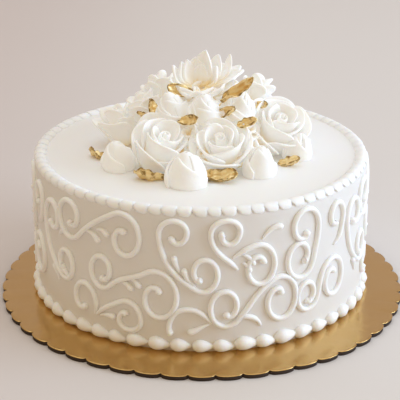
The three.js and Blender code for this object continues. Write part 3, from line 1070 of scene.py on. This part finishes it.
# %% [markdown]
# A rose is a rolled heart and three rings of cupped petals, the outer ones lower and lying further
# back. A bud is a few petals wrapped round an egg. A blossom has rings of pointed petals round a
# deep middle. The side that faces away from the mound, where a petal shows most, has the angle
# facing.

# %% Flower forms
# Rings of a rose: petals, foot, lip, inner and outer radius, spread, curl, bend, drop, foot's rise.
# In these rings, a low foot's rise paints more warm fold shade at a petal's foot.
ROSE_RINGS = [
    (3, 0.15, 0.97, 0.18, 0.44, 1.45, 0.04, 0.5, 0.3, 0.0),
    (3, 0.05, 0.93, 0.22, 0.70, 1.45, 0.06, 0.5, 0.35, 0.0),
    (5, 0.0, 0.78, 0.30, 0.98, 0.95, 0.10, 0.5, 0.35, 0.35),
]
ROSE_RUFFLE = 0.03
# Rings of a half open flower, which is smaller and more ruffled.
RUFFLED_RINGS = [
    (3, 0.15, 1.0, 0.20, 0.46, 1.40, 0.08, 0.6, 0.3, 0.0),
    (5, 0.0, 0.80, 0.25, 0.82, 1.05, 0.12, 0.6, 0.4, 0.3),
]
RUFFLE = 0.06


def build_rings(bm, draw, facing, rings, ruffle):
    for ring, row in enumerate(rings):
        count, foot, lip, inner, outer, spread, curl, bend, drop, foot_rise = row
        start = facing + math.pi * (len(rings) - 1 - ring) / count + draw.uniform(-0.1, 0.1)
        for petal in range(count):
            turn = start + 2 * math.pi * petal / count + draw.uniform(-0.1, 0.1)
            height = lip + draw.uniform(-0.05, 0.05)
            reach = outer * draw.uniform(0.94, 1.04)
            cup_petal(bm, draw, turn, foot, height, inner, reach, spread, curl, bend, drop, ruffle,
                      foot_rise)


def build_rose(bm, draw, facing):
    rolled_heart(bm, draw.uniform(0, 6), 1.35, 0.3, 0.9, 0.05, 0.27)
    build_rings(bm, draw, facing, ROSE_RINGS, ROSE_RUFFLE)


def build_ruffled(bm, draw, facing):
    rolled_heart(bm, draw.uniform(0, 6), 1.2, 0.3, 1.0, 0.05, 0.26)
    build_rings(bm, draw, facing, RUFFLED_RINGS, RUFFLE)


def build_bud(bm, draw, facing):
    start = facing + draw.uniform(-0.5, 0.5)
    bud_petal(bm, start + 1.5, 1.0, 0.84, 3.1, 0.02, 0.0, 0.1)
    for petal in range(3):
        lip = draw.uniform(0.88, 0.98)
        bud_petal(bm, start + 2 * math.pi * petal / 3, lip, 0.93, 1.4, 0.2, 0.55)


def build_open_bud(bm, draw, facing):
    start = facing + draw.uniform(-0.6, 0.6)
    bud_petal(bm, start + 1.5, 1.0, 0.82, 3.1, 0.02, 0.0, 0.1)
    for petal in range(4):
        lip = draw.uniform(0.84, 0.95)
        bud_petal(bm, start + 2 * math.pi * petal / 4, lip, 0.86, 1.1, 0.18, 0.4)
    for petal in range(3):
        lip = draw.uniform(0.6, 0.75)
        bud_petal(bm, start + 0.5 + 2 * math.pi * petal / 3, lip, 0.98, 1.15, 0.2, 0.4)


# The petals of the top blossom from its middle in millimetres: root, belly, tip and half width.
TOP_HEART = (-9.0, -3.0, 6.0)
TOP_CUP = 0.35
TOP_PETALS = [
    ((-4, 2, -11), (-1, 13, -4), (-0.7, 4, 16.5), 9.5),
    ((0, 2, -11), (10, 13, -4), (8, 6, 12.5), 8.5),
    ((2, 2, -11), (19, 12, -6), (16.5, 9, 12.1), 5.8),
    ((0, 0, -10), (13, 0, -9), (27, 3, 2), 11.0),
    ((2, 2, -10), (17, 8, -8), (25, 8, 3.5), 8.0),
    ((-6, 3, -11), (-9, 13, -6), (-8, 7, 10.5), 9.5),
    ((-7, 2, -11), (-15, 9, -9), (-14.5, 4, 9.5), 6.5),
    ((-8, 1, -11), (-20, 8, -9), (-19, 3, 8), 6.5),
    ((-9, 0, -11), (-25, 3, -11), (-25, 1, 6), 6.5),
    ((-9, -1, -11), (-26, -3, -12), (-27, -5, -3), 10.0),
    ((-8, -2, -12), (-18, -12, -15), (-19, -15, -7), 11.0),
    ((-5, -3, -12), (-5, -17, -16), (-7, -20, -8), 12.0),
    ((-1, -3, -12), (9, -15, -15), (9, -18, -6), 12.0),
    ((1, -2, -12), (20, -10, -13), (22, -11, -3.5), 11.0),
    ((-4, 2, -11), (-3, 9, -8), (-4, 5, 6), 7.5),
    ((-2, 1, -11), (8, 6, -9), (7, 2, 5), 8.0),
    ((-8, -4, -13), (-13, -14, -15), (-14, -20, -11), 9.0),
    ((-2, -4, -13), (1, -15, -15), (1, -21, -12), 9.0),
    ((4, -3, -13), (15, -13, -14), (17, -16, -10), 9.0),
    ((0, 5, -11), (10, 17, -9), (12, 20, 2), 9.0),
    ((-3, 5, -11), (-7, 17, -9), (-9, 20, 2), 9.0),
    ((3, 3, -11), (17, 10, -10), (24, 13, -3), 8.0),
    ((-7, 3, -11), (-17, 10, -9), (-23, 12, -2), 8.0),
]


def build_top_blossom(bm, draw, facing):
    for root, belly, tip, width in TOP_PETALS:
        blade_petal(bm, draw, root, belly, tip, width, TOP_CUP, TOP_HEART)


print("flower forms ready")

# %% [markdown]
# Each flower stands where the model has it: at its middle, leaning outwards from the middle of the
# mound. The forms above are in shares of a radius and a height, so one matrix scales, turns, leans
# and places them.

# %% Flowers
PETAL_THICKNESS = 1.8 * MM
# Node, form, middle from the cake's axis and above the table, radius, height, lean, turn, and for some
# the bearing that the flower leans to. The others lean straight out from the mound.
FLOWERS = [
    ("blossom_top", build_top_blossom, (4.5, 0.5, 167.5), 1.0, 1.0, 0, 0),
    ("rose_front_left", build_rose, (-28.5, -37, 122.5), 22.5, 38, 28, 40, -50),
    ("rose_front_right", build_rose, (14.5, -40.5, 123.5), 22.0, 37, 32, 0, -100),
    ("rose_right", build_rose, (56.5, -3, 125), 23.5, 40, 32, 80, -62),
    ("bud_front", build_bud, (-10, -71, 118), 14.5, 27, 4, 0),
    ("bud_front_right", build_bud, (42, -52, 117), 11.5, 25, 8, 50),
    ("bud_far_left", build_bud, (-60, -40.5, 116.5), 11.5, 24, 12, 20),
    ("bud_upper_left", build_open_bud, (-21, -18, 146), 11.5, 26, 20, 0),
    ("bud_upper", build_open_bud, (2.5, -22, 146.5), 11.5, 25, 14, 70),
    ("bud_upper_right", build_open_bud, (28, -12, 144), 13, 26, 20, 35),
    ("rose_far_left", build_ruffled, (-61, 9.5, 123), 18, 30, 16, 0),
    ("rose_left", build_rose, (-42.5, 14, 134.5), 15, 26, 30, 60),
    ("blossom_left", build_ruffled, (-30.5, 28.5, 147), 14, 22, 26, 0),
    ("blossom_right", build_ruffled, (42, 26, 146), 14, 23, 26, 30),
    ("bud_right", build_bud, (72, -16, 115.5), 10.5, 21, 12, 0),
    ("rose_back_left", build_rose, (-37, 45, 122.5), 20.5, 34, 36, 20),
    ("rose_back", build_rose, (4, 53, 123), 22.5, 35, 36, 70),
    ("rose_back_right", build_rose, (44, 40, 122.5), 21, 34, 36, 10),
    ("bud_back_left", build_bud, (-20, 70, 116), 11.5, 22, 10, 0),
    ("bud_back_right", build_bud, (30, 68.5, 116), 12, 22, 10, 40),
    ("bud_upper_back", build_open_bud, (-8, 26, 145), 13.5, 26, 20, 15),
    ("bud_upper_back_right", build_open_bud, (19, 24, 145), 13.5, 26, 20, 65),
]


def standing(at, radius, height, lean, turn, bearing):
    hinge = Vector((-math.sin(bearing), math.cos(bearing), 0.0))
    size = Matrix.Diagonal((radius * MM, radius * MM, height * MM, 1.0))
    return (Matrix.Translation(AXIS + Vector(at) * MM)
            @ Matrix.Rotation(math.radians(lean), 4, hinge)
            @ Matrix.Rotation(math.radians(turn), 4, "Z")
            @ Matrix.Translation((0.0, 0.0, -height * MM / 2))
            @ size)


def thicken(piece, thickness):
    wall = piece.modifiers.new("wall", "SOLIDIFY")
    wall.thickness = thickness
    wall.offset = 0.0


def soften(piece, thickness):
    thicken(piece, thickness)
    rounding = piece.modifiers.new("rounding", "SUBSURF")
    rounding.levels = rounding.render_levels = 1


def make_flower(node, build, at, radius, height, lean, turn, towards=None):
    outward = Vector(at) * MM - MOUND_MIDDLE
    bearing = math.atan2(outward.y, outward.x) if towards is None else math.radians(towards)
    bm = bmesh.new()
    bm.verts.layers.float.new("rise")
    build(bm, random.Random(node), bearing - math.radians(turn))
    matrix = standing(at, radius, height, lean, turn, bearing)
    bmesh.ops.transform(bm, matrix=matrix, verts=bm.verts)
    piece = make_piece(node + "_petals", bm, petal_material, "petal", node)
    soften(piece, PETAL_THICKNESS)


for row in FLOWERS:
    make_flower(*row)

# %% [markdown]
# Between the flowers the hill is covered with small ruffles of icing, so that no bare icing shows in
# the gaps. They sit on the hill's profile, each looking straight out from it.

# %% Ruffles between the flowers
RUFFLE_ROWS = [(41, 11, 12), (34, 22, 10), (25, 33, 8), (14, 42, 5)]
RUFFLE_RADIUS = 10.5 * MM
RUFFLE_HEIGHT = 12.0 * MM
# The ruffles' rise is scaled down, so the petal finish paints them with more warm fold shade.
RUFFLE_PAINTED_SHADE_RISE = 0.6
RUFFLE_SINK = 0.45
RUFFLE_SEED = 12


def mound_ruffles():
    draw = random.Random(RUFFLE_SEED)
    bm = bmesh.new()
    bm.verts.layers.float.new("rise")
    for radius, height, count in RUFFLE_ROWS:
        for number in range(count):
            bearing = 2 * math.pi * (number + draw.uniform(-0.2, 0.2)) / count
            place = AXIS + MOUND_MIDDLE + around(radius * MM, bearing, CAKE_TOP + height * MM)
            outward = around(1.0, bearing, 0.75 + 0.9 * height / 46)
            small = bmesh.new()
            small.verts.layers.float.new("rise")
            build_rings(small, draw, 0.0, RUFFLED_RINGS, RUFFLE)
            rise = small.verts.layers.float["rise"]
            for vert in small.verts:
                vert[rise] *= RUFFLE_PAINTED_SHADE_RISE
            size = draw.uniform(0.85, 1.15)
            scale = (RUFFLE_RADIUS * size, RUFFLE_RADIUS * size, RUFFLE_HEIGHT, 1.0)
            matrix = (Matrix.Translation(place)
                      @ outward.to_track_quat("Z", "Y").to_matrix().to_4x4()
                      @ Matrix.Translation((0.0, 0.0, -RUFFLE_SINK * RUFFLE_HEIGHT))
                      @ Matrix.Diagonal(scale))
            bmesh.ops.transform(small, matrix=matrix, verts=small.verts)
            mesh = bpy.data.meshes.new("ruffle")
            small.to_mesh(mesh)
            small.free()
            bm.from_mesh(mesh)
            bpy.data.meshes.remove(mesh)
    piece = make_piece("mound_ruffles", bm, petal_material, "icing", "flower_mound")
    thicken(piece, PETAL_THICKNESS)


mound_ruffles()

# %% [markdown]
# Gilded leaves lie between the flowers. Each is a small blade rolled into a trough, twisted along
# its length and crumpled by the gold leaf.

# %% Gilded leaves
LEAF_LENGTH = 22.0 * MM
LEAF_HALF_WIDTH = 5.4 * MM
LEAF_ROLL = math.radians(78.0)
LEAF_THICKNESS = 1.2 * MM
LEAF_CURL = 6.0 * MM
LEAF_CRUMPLE = 2.2 * MM
LEAF_PLEAT = 0.7 * MM
LEAF_LIFT = 2.0 * MM
LEAF_COLUMNS = 20
LEAF_ROWS = 10
LEAF_LEAST_WIDTH = 0.02
# Node, middle from the cake's axis and above the table, size, slimness, bearing, pitch and roll.
LEAVES = [
    ("leaf_far_left", (-76, -20, 107), 0.8, 1.0, 235, 12, 20),
    ("leaf_front_left", (-36.5, -64, 107), 1.05, 1.0, 262, 8, 25),
    ("leaf_front", (14, -64, 107.5), 1.2, 0.9, 82, 8, 25),
    ("leaf_right", (65, -33, 107), 0.8, 1.0, 70, 20, 20),
    ("leaf_left_low", (-40.5, -11, 134.5), 0.65, 1.0, 290, 20, 30),
    ("leaf_left_high", (-35.5, -7, 139.5), 0.75, 1.0, 200, 30, 10),
    ("leaf_middle", (-8, -34, 139), 0.8, 1.0, 60, 20, 40),
    ("leaf_under_blossom", (-15, -10, 153.5), 1.0, 0.9, 92, -24, 50),
    ("leaf_twisted", (27.5, -21, 158.5), 1.35, 0.55, 88, 38, 50),
    ("leaf_upper_middle", (19.5, -25, 142.5), 0.75, 1.0, 60, 25, 40),
    ("leaf_upper_right", (34, -33, 137), 0.7, 1.0, 80, 20, 30),
    ("leaf_right_high", (44, 0, 139.5), 0.65, 1.0, 60, 15, 30),
    ("leaf_back_left", (-58, 48, 107.5), 0.9, 1.0, 215, 10, 20),
    ("leaf_back", (7, 82, 107.5), 1.0, 1.0, 170, 8, 20),
]


def make_leaf(row):
    node, at, scale, slimness, bearing, pitch, roll = row
    draw = random.Random(node)
    phase = draw.uniform(0, 6)
    twist = math.radians(draw.choice((-1, 1)) * draw.uniform(15, 40))
    bm = bmesh.new()
    rim = bm.verts.layers.float.new("rim")
    bmesh.ops.create_grid(bm, x_segments=LEAF_COLUMNS, y_segments=LEAF_ROWS, size=0.5)
    for vert in bm.verts:
        along, across = 2.0 * vert.co.x, 2.0 * vert.co.y
        outline = max(LEAF_LEAST_WIDTH, 1.0 - abs(along) ** 2.8) ** 0.7
        roll_angle = LEAF_ROLL * across
        side = LEAF_HALF_WIDTH * slimness * outline * math.sin(roll_angle)
        rise = LEAF_HALF_WIDTH * slimness * outline * (1.0 - math.cos(roll_angle))
        rise += noise.noise(Vector((along * 3.0 + phase, across * 2.0, phase))) * LEAF_CRUMPLE
        rise += math.sin(9.0 * across + 3.0 * along + phase) * LEAF_PLEAT
        turned = twist * along
        vert.co = Vector((along * LEAF_LENGTH / 2,
                          side * math.cos(turned) - rise * math.sin(turned),
                          side * math.sin(turned) + rise * math.cos(turned)
                          + LEAF_CURL * along ** 2 / 2))
        vert.co *= scale
        # rim is 0 in the middle and 1 at the leaf's edges, and the gold finish darkens the edges with
        # it as painted shade.
        vert[rim] = max(abs(across), abs(along)) ** 4
    towards = math.radians(bearing - 90.0)
    matrix = (Matrix.Translation(AXIS + Vector(at) * MM + Vector((0.0, 0.0, LEAF_LIFT)))
              @ Matrix.Rotation(towards, 4, "Z")
              @ Matrix.Rotation(-math.radians(pitch), 4, "Y")
              @ Matrix.Rotation(math.radians(roll), 4, "X"))
    bmesh.ops.transform(bm, matrix=matrix, verts=bm.verts)
    piece = make_piece(node + "_gilded", bm, gold_material, "gilding", node)
    soften(piece, LEAF_THICKNESS)


for row in LEAVES:
    make_leaf(row)
